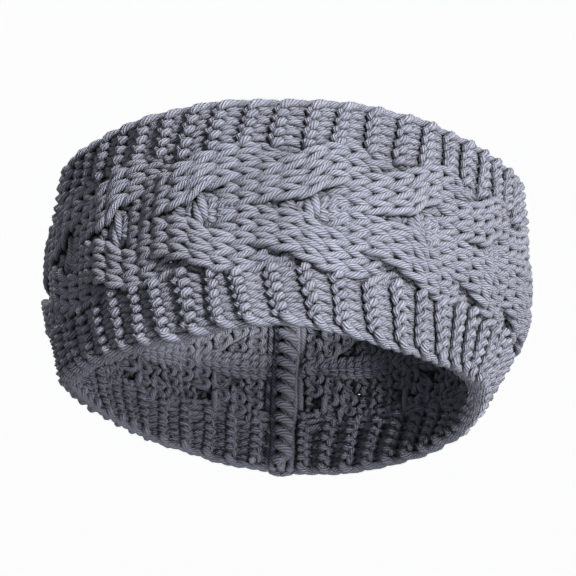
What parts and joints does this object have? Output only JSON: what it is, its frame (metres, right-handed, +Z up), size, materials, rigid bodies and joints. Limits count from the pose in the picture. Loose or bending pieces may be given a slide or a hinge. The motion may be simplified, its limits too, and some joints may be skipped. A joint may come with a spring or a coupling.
{
  "type": "ear warmer headband",
  "caption": "Wide knitted ear warmer headband, a horseshoe cable between two garter stitch borders, sewn into a ring at the nape.",
  "frame": {"origin": "the middle of the opening for the head, where the band sits on it", "axes": "+Z up the wearer's head, -Y out of the brow, +X to the wearer's left; the ring is tilted as worn, brow up and nape down"},
  "size_m": [0.1776, 0.2144, 0.1372],
  "materials": {
    "yarn": "soft plied acrylic yarn, grey with a blue cast, matt with a slight sheen on the plies"
  },
  "bodies": {
    "root": {"upper_border": "yarn", "lower_border": "yarn", "cable_strand_1": "yarn", "cable_strand_2": "yarn", "cable_strand_3": "yarn", "cable_strand_4": "yarn", "back_seam": "yarn"}
  },
  "joints": []
}
